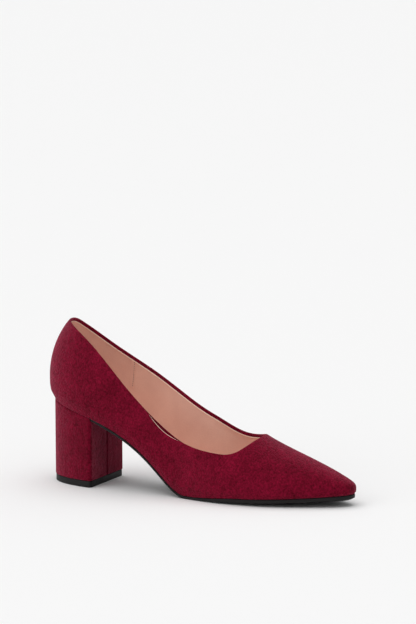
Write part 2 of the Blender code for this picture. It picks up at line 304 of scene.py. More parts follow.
half_width = {OUTER: half_width_curve(1), INNER: half_width_curve(2)}
middle_y = spline(LAST_LENGTH * column(SWING, 0), TOE_SWING * column(SWING, 1))
section_x = LAST_LENGTH * column(SECTIONS, 0)
swell_at = spline(section_x, SIDE_SWELL * column(SECTIONS, 1))
swell_height_at = spline(section_x, SWELL_HEIGHT * column(SECTIONS, 2))
roundness_at = spline(section_x, column(SECTIONS, 3))


def arch_curve():
    start = np.array([ARCH_START, SEAT_HEIGHT])
    end = np.array([TREAD_START, 0.0])
    span = TREAD_START - ARCH_START
    along_seat = np.array([math.cos(SEAT_SLOPE), -math.sin(SEAT_SLOPE)])
    pulls = start + ARCH_PULL * span * along_seat, end - np.array([TREAD_PULL * span, 0.0])
    share = np.linspace(0, 1, ARCH_STEPS)[:, None]
    rest = 1 - share
    points = (rest ** 3 * start + 3 * rest ** 2 * share * pulls[0]
              + 3 * rest * share ** 2 * pulls[1] + share ** 3 * end)
    return points[:, 0], points[:, 1]


arch_x, arch_z = arch_curve()


def toe_spring(x):
    ahead = np.clip((x - TREAD_END) / (LAST_LENGTH - TREAD_END), 0.0, None)
    return TOE_SPRING * ahead ** SPRING_POWER


def sole_bottom(x):
    behind = np.maximum(ARCH_START - x, 0.0)
    seat = SEAT_HEIGHT + math.tan(SEAT_SLOPE) * behind - SEAT_HOLLOW * behind ** 2
    return np.where(x < ARCH_START, seat, np.interp(x, arch_x, arch_z) + toe_spring(x))


def forepart(x):
    return smooth_step((x - FOREPART_START) / (FOREPART_END - FOREPART_START))


def sole_top(x):
    waist = smooth_step((x - HEEL_DEPTH / 2) / HEEL_DEPTH)
    thin = SEAT_SOLE + (WAIST_SOLE - SEAT_SOLE) * waist
    return sole_bottom(x) + thin + (TREAD_SOLE - thin) * forepart(x)


def lean(x):
    rise = sole_top(x + SLOPE_STEP) - sole_top(x - SLOPE_STEP)
    return np.hypot(1.0, rise / (2 * SLOPE_STEP))


def feather_z(x):
    return sole_top(x) + GAP * lean(x)


def carrier_z(x):
    return SEAT_HEIGHT * (1 - smooth_step(x / TREAD_START)) + toe_spring(x)


def crest_curve():
    behind = THROAT * column(CREST_OPENING, 0)
    ahead = THROAT + (LAST_LENGTH - THROAT) * column(CREST_VAMP, 0)
    rises = np.concatenate([column(CREST_OPENING, 1), column(CREST_VAMP, 1)])
    return spline(np.concatenate([behind, ahead]), BACK_HEIGHT * rises)


crest_rise = crest_curve()


def crest_slope(x):
    ahead, behind = x + SLOPE_STEP, x - SLOPE_STEP
    rise = carrier_z(ahead) + crest_rise(ahead) - carrier_z(behind) - crest_rise(behind)
    return rise / (2 * SLOPE_STEP)


def topline_curve(index):
    places = np.append(THROAT * column(TOPLINE, 0), THROAT)
    rises = np.append(BACK_HEIGHT * column(TOPLINE, index), crest_rise(THROAT))
    return spline(places, rises)


topline_rise = {OUTER: topline_curve(1), INNER: topline_curve(2)}


def topline_z(side, x):
    place = np.clip(x, THROAT * TOPLINE[0][0], THROAT)
    return carrier_z(place) + topline_rise[side](place)


def spine_x(x):
    def eased(run):
        blend = (run + FAN_BLEND) ** 2 / (4 * FAN_BLEND)
        return np.where(run < -FAN_BLEND, 0.0, np.where(run > FAN_BLEND, run, blend))

    front = LAST_LENGTH - TOE_FAN
    return front - eased(front - (SEAT_FAN + eased(x - SEAT_FAN)))


def spoke(side, turn):
    x = station_x(turn)
    y = middle_y(x) + side * half_width[side](turn)
    root_x = spine_x(x)
    root_y = middle_y(root_x)
    reach = np.hypot(x - root_x, y - root_y)
    return root_x, root_y, (x - root_x) / reach, (y - root_y) / reach, reach


def upper_point(side, turn, lift):
    root_x, root_y, along_x, along_y, reach = spoke(side, turn)
    foot = feather_z(root_x + along_x * reach)
    swell = swell_at(root_x) + (BACK_SWELL - SIDE_SWELL) * np.clip(-along_x, 0, 1) ** 2
    tuck = np.clip(-lift, 0.0, 1.0)
    rise = np.clip(lift, 0.0, math.pi / 2)
    power = 2 / roundness_at(root_x)
    widest = foot + swell_height_at(root_x)
    crest = carrier_z(root_x) + crest_rise(root_x)
    arm = (reach + swell) * np.cos(rise) ** power - swell * tuck ** 3
    z = widest - swell_height_at(root_x) * tuck + (crest - widest) * np.sin(rise) ** power
    z = z + crest_slope(root_x) * np.clip(along_x, 0, 1) * arm * np.sin(rise) ** 2
    return np.stack([root_x + along_x * arm, root_y + along_y * arm, z], axis=-1)


def topline_lift(side, turn):
    low = np.zeros_like(turn)
    high = np.full_like(turn, math.pi / 2)
    for _ in range(HALVINGS):
        middle = (low + high) / 2
        point = upper_point(side, turn, middle)
        under = point[:, 2] < topline_z(side, point[:, 0])
        low = np.where(under, middle, low)
        high = np.where(under, high, middle)
    return (low + high) / 2


def run_along(path):
    """How far along the path each of its points lies."""
    return np.append(0.0, np.cumsum(np.linalg.norm(np.diff(path, axis=0), axis=1)))


def topline_columns(side):
    fine = turn_at(THROAT) * (1 - np.linspace(1, 0, FINE_STEPS) ** 2)
    lift = topline_lift(side, fine)
    lift[-1] = math.pi / 2
    run = run_along(upper_point(side, fine, lift))
    marks = np.linspace(0.0, run[-1], COLLAR_COLUMNS + 1)
    return np.interp(marks, run, fine), np.interp(marks, run, lift)


def lay_columns():
    vamp = np.linspace(turn_at(THROAT), math.pi, VAMP_COLUMNS + 1)[1:]
    crest = np.full(VAMP_COLUMNS, math.pi / 2)
    edges = {side: topline_columns(side) for side in SIDES}
    ahead = FOOT_LEAD * np.linspace(0, 1, COLLAR_COLUMNS + 1) ** 4
    foot = np.maximum(edges[OUTER][0], edges[INNER][0]) + ahead
    vamp_foot = np.linspace(foot[-1], math.pi, VAMP_COLUMNS + 1)[1:]
    tops = {side: (np.append(turn, vamp), np.append(lift, crest))
            for side, (turn, lift) in edges.items()}
    return np.append(foot, vamp_foot), tops


def around(outer, inner):
    """One closed ring from the two sides, which share the seat end and the toe tip."""
    return np.concatenate([outer, inner[-2:0:-1]])


def seat_outline(inset, breast_columns):
    """Closed outline of the seat cut off at the breast: outer side, breast, inner side."""
    turns = np.linspace(0, turn_at(HEEL_DEPTH - HEEL_CORNER), SEAT_COLUMNS + 1)
    bends = np.linspace(0, math.pi / 2, CORNER_COLUMNS + 1)[1:]
    sides = []
    for side in SIDES:
        root_x, root_y, along_x, along_y, reach = spoke(side, turns)
        x = root_x + along_x * (reach - inset)
        y = root_y + along_y * (reach - inset)
        corner_x = x[-1] + (HEEL_DEPTH - inset - x[-1]) * np.sin(bends)
        corner_y = y[-1] - side * HEEL_CORNER * (1 - np.cos(bends))
        sides.append(np.stack([np.append(x, corner_x), np.append(y, corner_y)], axis=-1))
    outer, inner = sides
    even = np.linspace(-1, 1, breast_columns + 2)[1:-1]
    share = (1 + BREAST_EVEN * even + (1 - BREAST_EVEN) * even ** 3) / 2
    middle = outer[-1] + (inner[-1] - outer[-1]) * share[:, None]
    return np.concatenate([outer, middle, inner[:0:-1]])


# Placing and meshing

def stand_offset():
    """From the last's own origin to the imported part's frame."""
    turns = np.linspace(0, math.pi, PLAN_STEPS)
    inner_edge = (middle_y(station_x(turns)) + half_width[INNER](turns)).max()
    toe_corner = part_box("outsole")[1]
    return np.array([toe_corner[0] - LAST_LENGTH, toe_corner[1] - inner_edge, 0.0])


stand = stand_offset()


def make_mesh(name, vertices, faces, smooth_angle):
    mesh = bpy.data.meshes.new(name)
    mesh.from_pydata((np.asarray(vertices) + stand).tolist(), [], faces)
    bm = bmesh.new()
    bm.from_mesh(mesh)
    bmesh.ops.remove_doubles(bm, verts=bm.verts, dist=WELD)
    bmesh.ops.recalc_face_normals(bm, faces=bm.faces)
    bm.to_mesh(mesh)
    bm.free()
    mesh.shade_smooth()
    mesh.set_sharp_from_angle(angle=math.radians(smooth_angle))
    return mesh


def strip_faces(rows, columns, closed, start=0):
    """Quads between rows of points that lie one after the other."""
    faces = []
    for low in range(start, start + (rows - 1) * columns, columns):
        high = low + columns
        for k in range(columns if closed else columns - 1):
            after = (k + 1) % columns
            faces.append((low + k, low + after, high + after, high + k))
    return faces


def row_mesh(name, rows, closed, smooth_angle, capped=False):
    """One mesh from rows of points, each of which may be a closed ring."""
    rows = np.array(rows)
    faces = strip_faces(len(rows), rows.shape[1], closed)
    if capped:
        faces.append(tuple(range(rows.shape[1]))[::-1])
    return make_mesh(name, rows.reshape(-1, 3), faces, smooth_angle)


def linked(data):
    """An object of its own for a mesh, lamp or camera, under the same name."""
    piece = bpy.data.objects.new(data.name, data)
    bpy.context.scene.collection.objects.link(piece)
    return piece


def show(mesh, material, slot, *nodes):
    """Puts the mesh in the scene on the part's body, in place of the named solids."""
    piece = linked(mesh)
    mesh.materials.append(material)
    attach(piece, "root")
    if nodes:
        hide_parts(*nodes)


def skin(side, turn, lift):
    """Point and outward normal of the upper's outer face."""
    step = 1e-3
    below = np.minimum(lift, math.pi / 2 - 4 * step)
    point = upper_point(side, turn, lift)
    along = upper_point(side, turn + step, below) - upper_point(side, turn - step, below)
    up = upper_point(side, turn, below + step) - upper_point(side, turn, below - step)
    normal = np.cross(up, along) * side
    return point, unit(normal)


def unit(vectors):
    return vectors / np.linalg.norm(vectors, axis=-1, keepdims=True)


class Skin:
    """The upper's outer face as rings from the feather edge to the top, with the topline."""

    def __init__(self):
        self.turns, self.tops = lay_columns()
        self.join_back()
        rows = []
        for tuck in np.linspace(-1, 0, TUCK_ROWS + 1)[:-1]:
            tucks = np.full_like(self.turns, tuck)
            rows.append([skin(side, self.turns, tucks) for side in SIDES])
        for climb in np.linspace(0, 1, SIDE_ROWS + 1):
            rows.append([skin(side, self.turns + (turn - self.turns) * climb, lift * climb)
                         for side, (turn, lift) in sorted(self.tops.items())])
        self.points = np.array([around(outer[0], inner[0]) for outer, inner in rows])
        self.normals = np.array([around(outer[1], inner[1]) for outer, inner in rows])
        ring = np.arange(self.points.shape[1])
        self.loop = np.append(ring[:COLLAR_COLUMNS + 1], ring[1 - COLLAR_COLUMNS:])
        self.edge = self.points[-1][self.loop]
        self.edge_out = self.outward()
        along = unit(np.roll(self.edge, -1, axis=0) - np.roll(self.edge, 1, axis=0))
        for _ in range(TANGENT_PASSES):
            along = (np.roll(along, 1, axis=0) + along + np.roll(along, -1, axis=0)) / 3
        self.edge_up = unit(np.cross(self.edge_out, along))

    def join_back(self):
        """Brings the toplines together at the back, where they would meet in a step."""
        fade = 1 - smooth_step(np.arange(len(self.turns)) / BACK_COLUMNS)
        outer, inner = [self.tops[side][1][0] for side in SIDES]
        meeting = inner + BACK_SHARE * (outer - inner)
        for side, (turn, lift) in self.tops.items():
            self.tops[side] = turn, lift + (meeting - lift[0]) * fade

    def outward(self):
        """Normals along the topline, evened out round the throat's point."""
        normals = self.normals[-1][self.loop]
        near = slice(COLLAR_COLUMNS - THROAT_COLUMNS, COLLAR_COLUMNS + THROAT_COLUMNS + 1)
        mean = unit(normals[near.start - 1] + normals[near.stop])
        evened = normals.copy()
        evened[near] = normals[near] * (1 - THROAT_BLEND) + THROAT_BLEND * mean
        return evened

    def gape(self, sizes):
        """How far the collar gapes at each place of the topline: 0 closed, 1 the most."""
        away = (self.edge[:, 0] - sizes.gape_place) / sizes.gape_reach
        share = np.where(np.abs(away) < 1, np.cos(away * math.pi / 2) ** 2, 0.0)
        outer = np.arange(len(self.edge)) <= COLLAR_COLUMNS
        return np.where(outer, share, 0.0)

    def across(self, rows, side, stations):
        """Where each row meets its station in x, on one side."""
        count = len(self.turns)
        ring = np.arange(count)
        if side == INNER:
            ring = np.append(0, np.arange(2 * count - 3, count - 2, -1))
        return np.array([[np.interp(x, row[ring, 0], row[ring, axis]) for axis in range(3)]
                         for x, row in zip(stations, rows)])

    def wall(self, rows, side, stations):
        """The same points, each with its level direction into the shoe."""
        along = (self.across(rows, side, stations + WALL_STEP)
                 - self.across(rows, side, stations - WALL_STEP))
        inward = np.stack([-along[:, 1], along[:, 0], 0 * along[:, 0]], axis=-1) * -side
        return self.across(rows, side, stations), unit(inward)

    def lowered(self, drop):
        """The skin drawn back from the topline by a drop that fades out away from it."""
        drop = np.broadcast_to(drop, len(self.edge))
        moved = []
        for row in self.points:
            away = np.linalg.norm(row[:, None] - self.edge[None], axis=2)
            nearest = away.argmin(axis=1)
            weight = 1 - smooth_step(away.min(axis=1) / DROP_FADE)
            moved.append(row - self.edge_up[nearest] * (drop[nearest] * weight)[:, None])
        return np.array(moved)


def arc(middle, radius, out, up, bends):
    """Rows of points round an edge, from its outer side over its top."""
    return [middle + radius * (out * math.cos(bend) + up * math.sin(bend)) for bend in bends]


# Materials

GROUP_OUTPUTS = (("Colour", "NodeSocketColor"), ("Height", "NodeSocketFloat"),
                 ("Roughness", "NodeSocketFloat"))
NODE_STEP = 220
NODES_IN_A_ROW = 6

# How strong and how deep each material's relief is
SUEDE_RELIEF = (0.7, 0.0007)
LEATHER_RELIEF = (0.25, 0.0003)
RUBBER_RELIEF = (0.2, 0.0002)


def rgba(colour, share=1.0):
    return (*[part * share for part in colour], 1.0)


def add_node(tree, kind, **settings):
    """A new node, laid out in rows in the order that the nodes are made."""
    row, column = divmod(len(tree.nodes), NODES_IN_A_ROW)
    node = tree.nodes.new(kind)
    node.location = column * NODE_STEP, -row * NODE_STEP
    for name, value in settings.items():
        setattr(node, name, value)
    return node


def feed(tree, socket, value):
    """Gives a socket a constant, or links it to another node's output."""
    if isinstance(value, (int, float, tuple)):
        socket.default_value = value
    else:
        tree.links.new(value, socket)


def new_group(name, colours, scales):
    """A node group that takes a place, colours and scales, and the sockets that give them."""
    tree = bpy.data.node_groups.new(name, "ShaderNodeTree")
    inputs = [("Vector", "NodeSocketVector", (0, 0, 0))]
    inputs += [(label, "NodeSocketColor", rgba(value)) for label, value in colours]
    inputs += [(label, "NodeSocketFloat", value) for label, value in scales]
    for label, kind, default in inputs:
        socket = tree.interface.new_socket(name=label, in_out="INPUT", socket_type=kind)
        socket.default_value = default
    for label, kind in GROUP_OUTPUTS:
        tree.interface.new_socket(name=label, in_out="OUTPUT", socket_type=kind)
    return tree, add_node(tree, "NodeGroupInput").outputs


def close_group(tree, *values):
    target = add_node(tree, "NodeGroupOutput")
    for (label, _), value in zip(GROUP_OUTPUTS, values):
        tree.links.new(value, target.inputs[label])
    return tree


def worked(tree, kind, output, values, **settings):
    """One output of a new node whose sockets, by name or number, are fed the values."""
    node = add_node(tree, kind, **settings)
    for label, value in values.items():
        feed(tree, node.inputs[label], value)
    return node.outputs[output]


def noise(tree, vector, scale, detail, roughness=0.5, distortion=0.0):
    return worked(tree, "ShaderNodeTexNoise", "Fac", {
        "Vector": vector, "Scale": scale, "Detail": detail, "Roughness": roughness,
        "Distortion": distortion})


def remap(tree, value, low, high, to_low=0.0, to_high=1.0):
    return worked(tree, "ShaderNodeMapRange", "Result", {
        "Value": value, "From Min": low, "From Max": high, "To Min": to_low, "To Max": to_high})


def maths(tree, operation, first, second):
    return worked(tree, "ShaderNodeMath", 0, {0: first, 1: second}, operation=operation)


def weighted(tree, *parts):
    """Sum of the values, each times its own share."""
    total = None
    for value, share in parts:
        scaled = maths(tree, "MULTIPLY", value, share)
        total = scaled if total is None else maths(tree, "ADD", total, scaled)
    return total


def mix_colour(tree, factor, first, second):
    """The mix node keeps its colours in sockets 6 and 7, and gives one in output 2."""
    return worked(tree, "ShaderNodeMix", 2, {0: factor, 6: first, 7: second},
                  data_type="RGBA")


def suede_nap_group():
    """Brushed nap: broad patches where it lies one way or the other, and fine fibres."""
    tree, given = new_group(
        "suede_nap", (("Deep Colour", (0.1, 0, 0)), ("Raised Colour", (0.3, 0, 0))),
        (("Patch Scale", 45.0), ("Fibre Scale", 1500.0)))
    lay = worked(tree, "ShaderNodeMapping", "Vector", {
        "Vector": given["Vector"], "Rotation": (0.0, math.radians(35), 0.0),
        "Scale": (1.0, 1.0, 0.8)})
    patches = noise(tree, given["Vector"], given["Patch Scale"], 4.0, 0.6, 0.4)
    mottle = noise(tree, lay, 230.0, 3.0, 0.65, 0.3)
    fibres = noise(tree, lay, given["Fibre Scale"], 3.0, 0.75)
    broad = remap(tree, patches, 0.38, 0.64)
    middle = remap(tree, mottle, 0.36, 0.64)
    fine = remap(tree, fibres, 0.38, 0.62)
    lie = weighted(tree, (broad, 0.22), (middle, 0.20), (fine, 0.58))
    return close_group(
        tree, mix_colour(tree, lie, given["Deep Colour"], given["Raised Colour"]),
        weighted(tree, (middle, 0.5), (fine, 0.5)), remap(tree, lie, 0.0, 1.0, 0.86, 0.98))


def leather_grain_group():
    """Fine pebbled grain with soft blotches in the tone."""
    tree, given = new_group(
        "leather_grain", (("Base Colour", (0.6, 0.4, 0.3)), ("Worn Colour", (0.5, 0.3, 0.2))),
        (("Grain Scale", 900.0),))
    blotch = noise(tree, given["Vector"], 38.0, 3.0, 0.55)
    pores = worked(tree, "ShaderNodeTexVoronoi", "Distance", {
        "Vector": given["Vector"], "Scale": given["Grain Scale"], "Smoothness": 0.6},
        feature="SMOOTH_F1")
    fine = noise(tree, given["Vector"], 2600.0, 2.0)
    tone = remap(tree, blotch, 0.35, 0.70)
    cells = remap(tree, pores, 0.0, 0.9)
    worn = weighted(tree, (tone, 0.65), (cells, 0.30))
    return close_group(
        tree, mix_colour(tree, worn, given["Base Colour"], given["Worn Colour"]),
        weighted(tree, (cells, -0.7), (fine, 0.3)), remap(tree, fine, 0.3, 0.7, 0.48, 0.66))


def rubber_face_group():
    """Moulded black rubber: a faint stipple and slight dust in soft patches."""
    tree, given = new_group(
        "rubber_face", (("Base Colour", (0.02,) * 3), ("Dust Colour", (0.06,) * 3)),
        (("Stipple Scale", 1400.0),))
    cloud = noise(tree, given["Vector"], 60.0, 5.0, 0.6, 0.5)
    stipple = noise(tree, given["Vector"], given["Stipple Scale"], 2.0, 0.6)
    dust = remap(tree, cloud, 0.45, 0.80)
    return close_group(
        tree, mix_colour(tree, dust, given["Base Colour"], given["Dust Colour"]),
        stipple, remap(tree, cloud, 0.3, 0.7, 0.40, 0.62))


def group_material(name, maker, relief, values, **shader_values):
    """A material whose shader takes colour, roughness and relief from a node group."""
    if name in bpy.data.materials:
        return bpy.data.materials[name]
    group = bpy.data.node_groups.get(maker.__name__.replace("_group", "")) or maker()
    material = bpy.data.materials.new(name)
    material.use_nodes = True
    tree = material.node_tree
    shader = tree.nodes["Principled BSDF"]
    where = worked(tree, "ShaderNodeTexCoord", "Object", {})
    effect = add_node(tree, "ShaderNodeGroup", node_tree=group)
    for label, value in values.items():
        effect.inputs[label].default_value = value
    tree.links.new(where, effect.inputs["Vector"])
    colour, height, roughness = effect.outputs
    bump = worked(tree, "ShaderNodeBump", "Normal", {
        "Height": height, "Strength": relief[0], "Distance": relief[1]})
    for value, label in ((colour, "Base Color"), (roughness, "Roughness"), (bump, "Normal")):
        tree.links.new(value, shader.inputs[label])
    for label, value in shader_values.items():
        shader.inputs[label.replace("_", " ")].default_value = value
    return material


# The share scales the suede's colours. The facing's 0.55 is painted shade.
def suede_material(name, finish, share=1.0):
    return group_material(name, suede_nap_group, SUEDE_RELIEF, {
        "Deep Colour": rgba(finish.suede_deep, share),
        "Raised Colour": rgba(finish.suede_raised, share),
        "Patch Scale": finish.patch_scale, "Fibre Scale": finish.fibre_scale},
        Sheen_Weight=finish.sheen, Sheen_Roughness=0.35, Sheen_Tint=rgba(finish.sheen_tint),
        Specular_IOR_Level=0.03)


def leather_material(name, finish, base, worn):
    return group_material(name, leather_grain_group, LEATHER_RELIEF, {
        "Base Colour": rgba(base), "Worn Colour": rgba(worn),
        "Grain Scale": finish.grain_scale}, Specular_IOR_Level=0.35)


# The lining's edges take a colour lighter than the lining: a painted highlight where light
# catches them.
def edge_leather(finish):
    return leather_material("edge_leather", finish, finish.edge_colour, finish.lining_colour)


def rubber_material(name, finish):
    return group_material(name, rubber_face_group, RUBBER_RELIEF, {
        "Base Colour": rgba(finish.sole_colour), "Dust Colour": rgba(finish.sole_colour, 2.2)},
        Specular_IOR_Level=0.28)


# Settings

def length(name, description, default):
    return bpy.props.FloatProperty(name=name, description=description, default=default,
                                   unit="LENGTH", subtype="DISTANCE", precision=5)


def colour(name, description, default):
    return bpy.props.FloatVectorProperty(name=name, description=description, default=default,
                                         subtype="COLOR", min=0, max=1)


def amount(name, description, default, **limits):
    return bpy.props.FloatProperty(name=name, description=description, default=default,
                                   **limits)


class PumpSizes(bpy.types.PropertyGroup):
    """Sizes of the visible trims."""

    band_depth: length("Folded edge depth", "How far the suede folds down inside the collar",
                       0.0021)
    band_proud: length("Folded edge stand-off", "How far the fold stands off the lining", 0.00025)
    bead_radius: length("Lining edge radius", "Radius of the lining's turned upper edge", 0.0005)
    feather_radius: length("Lasted edge radius", "Radius where the suede turns under", 0.0009)
    sole_edge_radius: length("Sole edge radius", "Radius of the sole's trimmed edges", 0.0004)
    stitch_pitch: length("Stitch pitch", "From stitch to stitch in the lining's seam", 0.0016)
    thread_radius: length("Thread radius", "Radius of the lining's thread", 0.00024)
    lap_width: length("Lap width", "From the lining's lapped edge to its stitches", 0.0026)
    seam_place: length("Lining seam", "From the last's heel to the seam's upper end", 0.0548)
    seam_lean: amount("Lining seam lean", "How far the seam runs forward over its height", 0.14)
    gape_place: length("Gape place", "From the last's heel to the gape's middle", 0.1075)
    gape_reach: length("Gape reach", "Half the length over which the collar gapes", 0.0195)
    gape_depth: length("Gape depth", "How far the suede's edge sinks where it gapes", 0.0024)
    seam_depth: length("Breast seam depth", "Depth of the seam down the heel's breast", 0.0016)


class PumpFinish(bpy.types.PropertyGroup):
    """Colours and scales of the finishes."""

    suede_deep: colour("Suede, nap laid down", "Its darkest colour", (0.064, 0.0010, 0.0052))
    suede_raised: colour("Suede, nap raised", "Its lightest colour", (0.276, 0.0066, 0.0330))
    sheen_tint: colour("Suede sheen", "Colour of the nap's sheen", (1.0, 0.28, 0.40))
    sheen: amount("Sheen amount", "How strongly the nap catches light", 0.56, min=0, max=1,
                  subtype="FACTOR")
    patch_scale: amount("Patch scale", "Patches of laid nap to the metre", 42.0)
    fibre_scale: amount("Fibre scale", "Tufts of nap to the metre", 820.0)
    lining_colour: colour("Lining", "Colour of the leather lining", (0.89, 0.59, 0.475))
    lining_worn: colour("Lining, darker", "Darker tone in the leather lining", (0.77, 0.46, 0.37))
    # Lighter than the lining: a painted highlight where light catches the turned edge.
    edge_colour: colour("Lining edge", "Colour of the lining's turned edge", (1.0, 0.80, 0.64))
    grain_scale: amount("Grain scale", "Grain cells to the metre", 900.0)
    sole_colour: colour("Sole and top lift", "Colour of the black rubber",
                        (0.0030, 0.0024, 0.0025))
    thread_colour: colour("Lining thread", "Colour of the stitches in the lining",
                          (0.16, 0.07, 0.05))


class PumpStage(bpy.types.PropertyGroup):
    """Camera, floor and lights."""

    azimuth: amount("Azimuth", "Camera's turn from the side to the toe",
                    math.radians(26.66), unit="ROTATION", subtype="ANGLE")
    elevation: amount("Elevation", "Camera's height above the horizon",
                      math.radians(10.815), unit="ROTATION", subtype="ANGLE")
    distance: length("Distance", "From the camera to the point it turns about", 1.9224)
    lens: amount("Lens", "Focal length for a 36 mm sensor", 145.96, subtype="DISTANCE_CAMERA")
    floor_colour: colour("Floor", "Colour of the floor", (0.885, 0.885, 0.885))
    sky: amount("Light from above", "Strength of the soft light overhead", 0.86, min=0)
    horizon: amount("Light from the sides", "Strength of the soft light at the horizon", 0.13,
                    min=0)
    key_power: amount("Key light", "Strength of the wide light overhead", 1.22, min=0)
    side_power: amount("Side light", "Strength of the outer side's light", 0.60, min=0)


def settings():
    scene = bpy.context.scene
    return scene.pump_sizes, scene.pump_finish, scene.pump_stage


@functools.cache
def shared_skin():
    """The upper's skin, worked out once for upper, facing and lining."""
    return Skin()


# Operators

FLOOR_RADIUS = 24.0
FLOOR_CORNERS = 96
FOCUS = (0.1241, 0.0, 0.06)
AIM_RIGHT = 0.00543
AIM_UP = 0.0774
LAMPS = (
    # name, setting, heading, spread in degrees
    ("overhead", "key_power", (-0.14, -0.05, 1.0), 70),
    ("outer_side", "side_power", (-0.70, -1.0, 0.45), 50),
)


class PUMP_OT_stage(bpy.types.Operator):
    """Sets up the floor, the soft lights and the camera"""

    bl_idname = "pump.stage"
    bl_label = "Stage"

    def execute(self, context):
        _, _, stage = settings()
        context.scene.view_settings.view_transform = "Standard"
        self.floor(stage)
        self.lights(stage)
        self.camera(stage)
        return {"FINISHED"}

    def floor(self, stage):
        mesh = bpy.data.meshes.new("floor")
        bm = bmesh.new()
        bmesh.ops.create_circle(bm, cap_ends=True, radius=FLOOR_RADIUS, segments=FLOOR_CORNERS)
        bm.to_mesh(mesh)
        bm.free()
        material = bpy.data.materials.new("floor")
        material.use_nodes = True
        shader = material.node_tree.nodes["Principled BSDF"]
        shader.inputs["Base Color"].default_value = rgba(stage.floor_colour)
        shader.inputs["Roughness"].default_value = 0.9
        shader.inputs["Specular IOR Level"].default_value = 0.1
        mesh.materials.append(material)
        piece = linked(mesh)

    def lights(self, stage):
        world = bpy.context.scene.world = bpy.data.worlds.new("studio")
        world.use_nodes = True
        tree = world.node_tree
        where = worked(tree, "ShaderNodeTexCoord", "Generated", {})
        height = worked(tree, "ShaderNodeSeparateXYZ", "Z", {"Vector": where})
        dome = remap(tree, height, 0.0, 1.0, stage.horizon, stage.sky)
        tree.links.new(dome, tree.nodes["Background"].inputs["Strength"])
        tree.nodes["Background"].inputs["Color"].default_value = (1, 1, 1, 1)
        for name, setting, heading, spread in LAMPS:
            light = bpy.data.lights.new(name, "SUN")
            light.angle = math.radians(spread)
            light.energy = getattr(stage, setting)
            turned = Vector(heading).to_track_quat("Z", "Y")
            linked(light).rotation_euler = turned.to_euler()

    def camera(self, stage):
        turned, tilt = stage.azimuth, stage.elevation
        back = Vector((math.sin(turned) * math.cos(tilt), -math.cos(turned) * math.cos(tilt),
                       math.sin(tilt)))
        right = Vector((math.cos(turned), math.sin(turned), 0))
        up = back.cross(right)
        focus = Vector(FOCUS) + Vector(stand.tolist())
        spot = focus + back * stage.distance
        aim = focus + right * AIM_RIGHT + up * AIM_UP
        data = bpy.data.cameras.new("camera")
        data.lens = stage.lens
        data.sensor_width = 36.0
        camera = linked(data)
        camera.location = spot
        camera.rotation_euler = (aim - spot).to_track_quat("-Z", "Y").to_euler()
        bpy.context.scene.camera = camera


class PUMP_OT_upper(bpy.types.Operator):
    """Makes the suede upper with its lasted lower edge and its folded collar"""

    bl_idname = "pump.upper"
    bl_label = "Upper"

    def execute(self, context):
        sizes, finish, _ = settings()
        shell = shared_skin()
        gape = shell.gape(sizes)
        body = shell.lowered(WALL / 2 + sizes.gape_depth * gape)
        body = self.round_feather(shell, body, sizes.feather_radius)
        fold = self.fold(shell, body[-1][shell.loop], gape, sizes)
        faces = strip_faces(*body.shape[:2], True)
        faces += strip_faces(*fold.shape[:2], True, body.shape[0] * body.shape[1])
        vertices = np.concatenate([body.reshape(-1, 3), fold.reshape(-1, 3)])
        mesh = make_mesh("upper_suede", vertices, faces, 75)
        show(mesh, suede_material("suede_upper", finish), "suede", "upper")
        return {"FINISHED"}

    def round_feather(self, shell, body, radius):
        """Adds the small radius at the feather edge and the margin lasted under."""
        low = shell.points[0]
        spokes = {side: spoke(side, shell.turns) for side in SIDES}
        along = around(*[np.stack([spokes[side][2], spokes[side][3], 0 * shell.turns], axis=-1)
                         for side in SIDES])
        steps = [(inset, 0.0) for inset in LASTED_MARGINS]
        steps += [(radius * (1 - math.sin(bend)), radius * (1 - math.cos(bend)))
                  for bend in np.linspace(0, math.pi / 2, ROUND_STEPS + 1)]
        rows = []
        for inset, rise in steps:
            point = low - along * inset
            point[:, 2] = feather_z(point[:, 0]) + rise
            rows.append(point)
        above = body[:, :, 2] > rows[-1][None, :, 2] + FEATHER_CLEAR
        start = int(np.argmax(above.all(axis=1)))
        return np.concatenate([np.array(rows), body[start:]])

    def fold(self, shell, edge, gape, sizes):
        """Half round over the edge, then a narrow band down the inside. The edge is thinner
        and has no band where the collar gapes."""
        out, up = shell.edge_out, shell.edge_up
        radius = (WALL / 2 * (1 - GAPE_THINNING * gape))[:, None]
        depth = (sizes.band_depth * (1 - GAPE_BAND * gape))[:, None]
        rows = arc(edge - out * radius, radius, out, up, np.linspace(0, math.pi, FOLD_STEPS + 1))
        inner = rows[-1]
        for down in np.linspace(0, 1, BAND_STEPS + 1)[1:]:
            rows.append(inner - up * depth * down - out * sizes.band_proud * down)
        rows.append(inner - up * (depth + BAND_HEM) + out * BAND_OVERLAP)
        return np.array(rows)


class PUMP_OT_facing(bpy.types.Operator):
    """Makes the facing and the lining's edge that show where the collar gapes"""

    bl_idname = "pump.facing"
    bl_label = "Collar facing"

    def execute(self, context):
        sizes, finish, _ = settings()
        shell = shared_skin()
        gape = shell.gape(sizes)
        open_part = np.flatnonzero(gape > 0)
        share = gape[open_part][:, None]
        top = (shell.edge - shell.edge_up * WALL / 2)[open_part]
        out, up = shell.edge_out[open_part], shell.edge_up[open_part]
        strip = [top - out * inward + up * height for inward, height in FACING_PROFILE]
        mesh = row_mesh("collar_facing", strip, False, 80)
        # The facing's suede is darkened to 0.55 of the upper's colour: painted shade in the
        # collar's slot.
        show(mesh, suede_material("suede_facing", finish, 0.55), "suede")
        rise = (WALL / 2 * (1 - GAPE_THINNING * share) - sizes.gape_depth * share
                + CUT_EDGE_RISE - CUT_EDGE_SINK * (1 - share))
        middle = top - out * CUT_EDGE_INSET + up * rise
        bends = np.linspace(0, 2 * math.pi, BEAD_STEPS + 1)
        edge = arc(middle, sizes.bead_radius / 2, out, up, bends)
        # The cut edge is lighter than the lining: a painted highlight.
        show(row_mesh("lining_cut_edge", edge, False, 80), edge_leather(finish), "sock")
        return {"FINISHED"}


